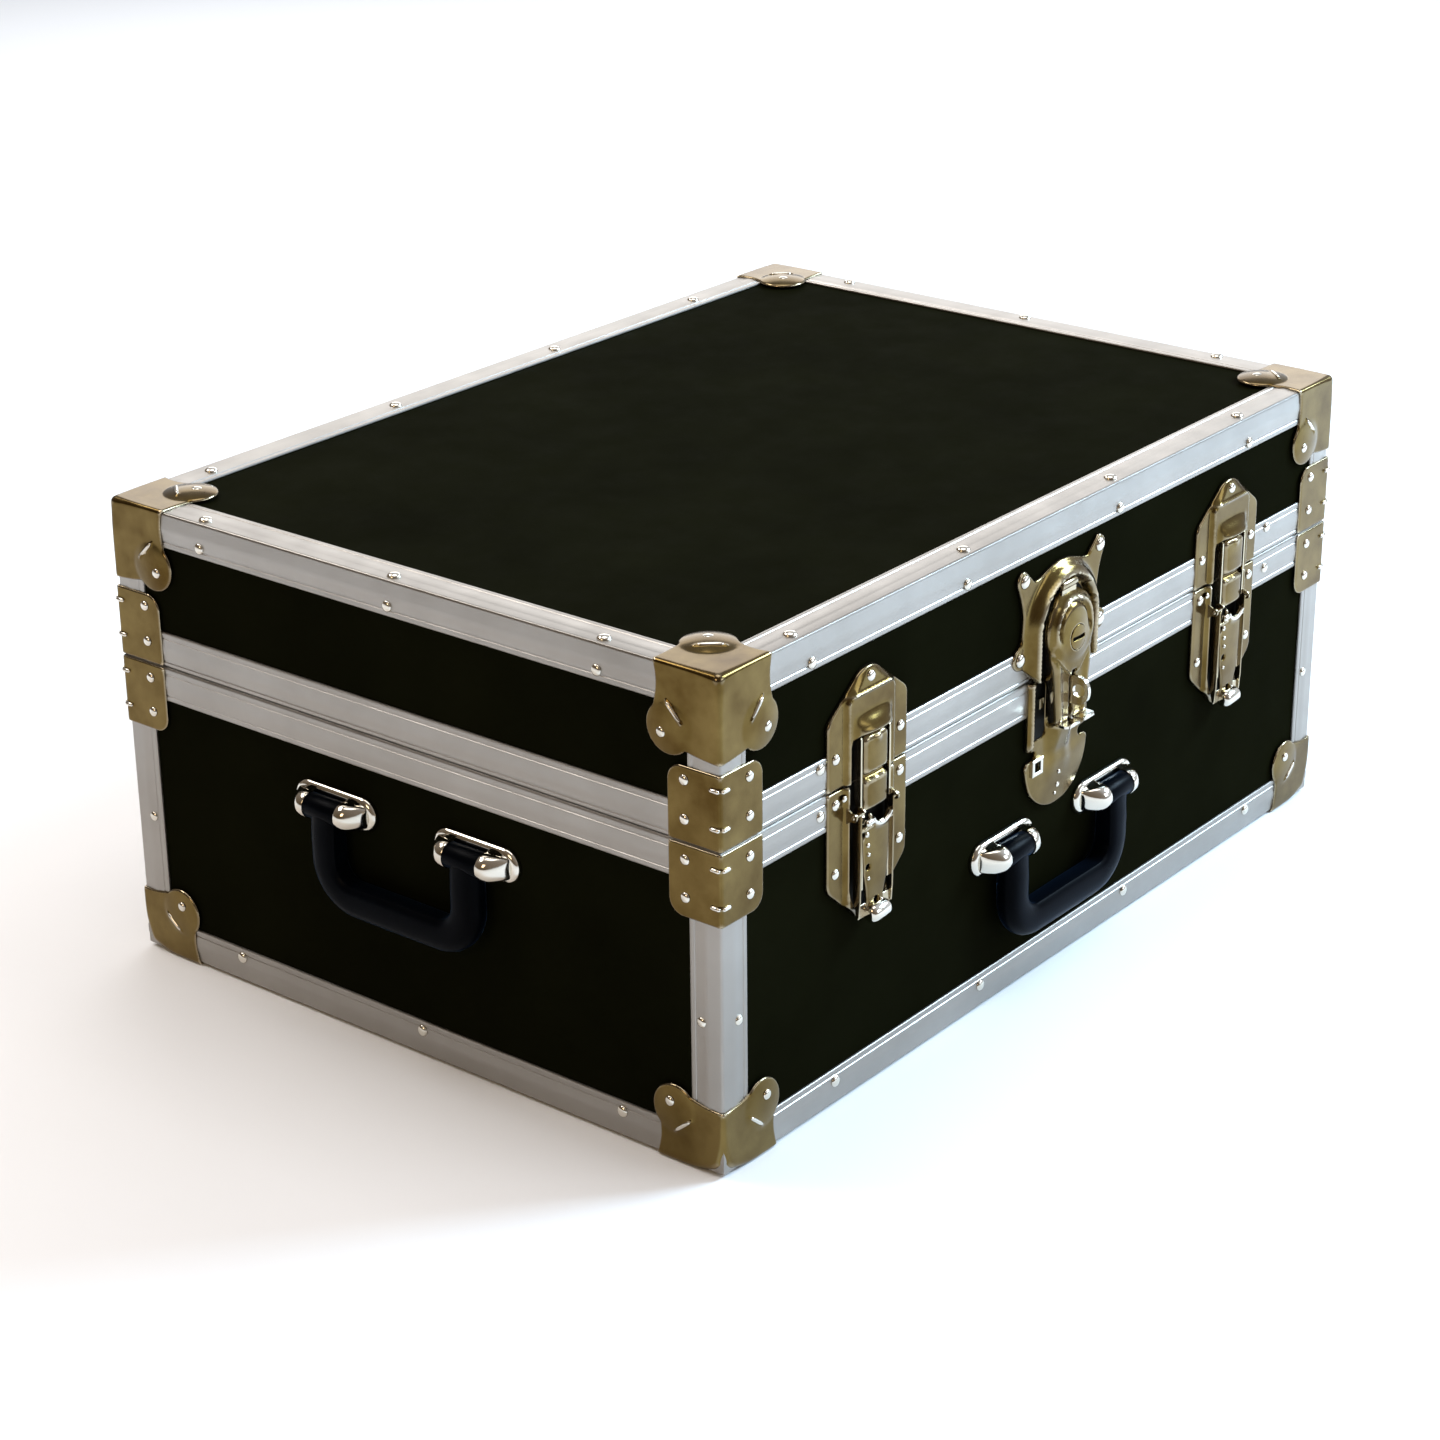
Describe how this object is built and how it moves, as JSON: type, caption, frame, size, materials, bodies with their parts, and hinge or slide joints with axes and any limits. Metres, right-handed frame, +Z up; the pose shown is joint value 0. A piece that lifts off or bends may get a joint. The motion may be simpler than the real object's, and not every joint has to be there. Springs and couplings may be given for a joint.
{
  "type": "footlocker",
  "caption": "Black footlocker with aluminium edge trim, plated corner caps, draw-bolt latches, a hasp lock with a padlock staple, drop handles and a rear-hinged lid.",
  "frame": {"origin": "on the floor, under the centre of the outer box", "axes": "+Z up, the front with the latches faces -Y, +X to the right seen from the front"},
  "size_m": [0.744, 0.5408, 0.328],
  "materials": {
    "panel_black": "plywood faced with smooth satin black laminate",
    "aluminium_trim": "ribbed satin extrusion",
    "plated_steel": "polished warm plating",
    "bright_nickel": "polished nickel plating",
    "key_cylinder": "dark satin",
    "grip_black": "semi-gloss moulded plastic"
  },
  "bodies": {
    "base": {"base_bottom_panel": "panel_black", "base_front_panel": "panel_black", "base_back_panel": "panel_black", "base_left_panel": "panel_black", "base_right_panel": "panel_black", "base_bottom_trim": "aluminium_trim", "base_rim": "aluminium_trim", "base_corner_trim_front_left": "aluminium_trim", "base_corner_trim_front_right": "aluminium_trim", "base_corner_trim_back_left": "aluminium_trim", "base_corner_trim_back_right": "aluminium_trim", "base_corner_cap_front_left": "plated_steel", "base_corner_cap_front_right": "plated_steel", "base_corner_cap_back_left": "plated_steel", "base_corner_cap_back_right": "plated_steel", "base_edge_clamp_front_left": "plated_steel", "base_edge_clamp_front_right": "plated_steel", "base_edge_clamp_back_left": "plated_steel", "base_edge_clamp_back_right": "plated_steel", "hinge_left_base_leaf": "plated_steel", "hinge_right_base_leaf": "plated_steel", "latch_left_plate": "plated_steel", "latch_right_plate": "plated_steel", "lock_base_plate": "plated_steel", "lock_staple": "bright_nickel", "handle_front_bracket_a": "bright_nickel", "handle_front_bracket_b": "bright_nickel", "handle_left_bracket_a": "bright_nickel", "handle_left_bracket_b": "bright_nickel", "handle_right_bracket_a": "bright_nickel", "handle_right_bracket_b": "bright_nickel"},
    "lid": {"lid_top_panel": "panel_black", "lid_front_panel": "panel_black", "lid_back_panel": "panel_black", "lid_left_panel": "panel_black", "lid_right_panel": "panel_black", "lid_rim": "aluminium_trim", "lid_top_trim": "aluminium_trim", "lid_corner_cap_front_left": "plated_steel", "lid_corner_cap_front_right": "plated_steel", "lid_corner_cap_back_left": "plated_steel", "lid_corner_cap_back_right": "plated_steel", "lid_edge_clamp_front_left": "plated_steel", "lid_edge_clamp_front_right": "plated_steel", "lid_edge_clamp_back_left": "plated_steel", "lid_edge_clamp_back_right": "plated_steel", "hinge_left_lid_leaf": "plated_steel", "hinge_right_lid_leaf": "plated_steel", "latch_left_catch": "plated_steel", "latch_right_catch": "plated_steel", "lock_lid_plate": "plated_steel"},
    "handle_front": {"handle_front_grip": "grip_black"},
    "handle_left": {"handle_left_grip": "grip_black"},
    "handle_right": {"handle_right_grip": "grip_black"},
    "latch_left_lever": {"latch_left_lever": "plated_steel"},
    "latch_left_bolt": {"latch_left_bolt": "plated_steel"},
    "latch_right_lever": {"latch_right_lever": "plated_steel"},
    "latch_right_bolt": {"latch_right_bolt": "plated_steel"},
    "hasp": {"lock_hasp": "plated_steel"},
    "key_cylinder": {"lock_cylinder": "key_cylinder"}
  },
  "joints": [
    {"name": "lid_hinge", "type": "hinge", "parent": "base", "child": "lid", "pos_m": [0, 0.2664, 0.217], "axis": [-1, 0, 0], "range_deg": [0, 105]},
    {"name": "front_handle_swing", "type": "hinge", "parent": "base", "child": "handle_front", "pos_m": [0, -0.2541, 0.11], "axis": [-1, 0, 0], "range_deg": [0, 100]},
    {"name": "left_handle_swing", "type": "hinge", "parent": "base", "child": "handle_left", "pos_m": [-0.363, 0.0079, 0.16], "axis": [0, 1, 0], "range_deg": [0, 100]},
    {"name": "right_handle_swing", "type": "hinge", "parent": "base", "child": "handle_right", "pos_m": [0.363, 0.0079, 0.16], "axis": [0, -1, 0], "range_deg": [0, 100]},
    {"name": "left_latch_lever_pivot", "type": "hinge", "parent": "base", "child": "latch_left_lever", "pos_m": [-0.212, -0.2529, 0.198], "axis": [-1, 0, 0], "range_deg": [0, 100]},
    {"name": "left_latch_bolt_pivot", "type": "hinge", "parent": "latch_left_lever", "child": "latch_left_bolt", "pos_m": [-0.212, -0.2529, 0.186], "axis": [-1, 0, 0], "range_deg": [-120, 0]},
    {"name": "right_latch_lever_pivot", "type": "hinge", "parent": "base", "child": "latch_right_lever", "pos_m": [0.212, -0.2529, 0.198], "axis": [-1, 0, 0], "range_deg": [0, 100]},
    {"name": "right_latch_bolt_pivot", "type": "hinge", "parent": "latch_right_lever", "child": "latch_right_bolt", "pos_m": [0.212, -0.2529, 0.186], "axis": [-1, 0, 0], "range_deg": [-120, 0]},
    {"name": "hasp_swing", "type": "hinge", "parent": "lid", "child": "hasp", "pos_m": [0, -0.2504, 0.277], "axis": [-1, 0, 0], "range_deg": [0, 120]},
    {"name": "key_turn", "type": "hinge", "parent": "hasp", "child": "key_cylinder", "pos_m": [0, -0.2554, 0.242], "axis": [0, -1, 0], "range_deg": [0, 90]}
  ],
  "couplings": [
    {"joint": "left_latch_bolt_pivot", "follows": "left_latch_lever_pivot", "ratio": -1.2},
    {"joint": "right_latch_bolt_pivot", "follows": "right_latch_lever_pivot", "ratio": -1.2}
  ]
}
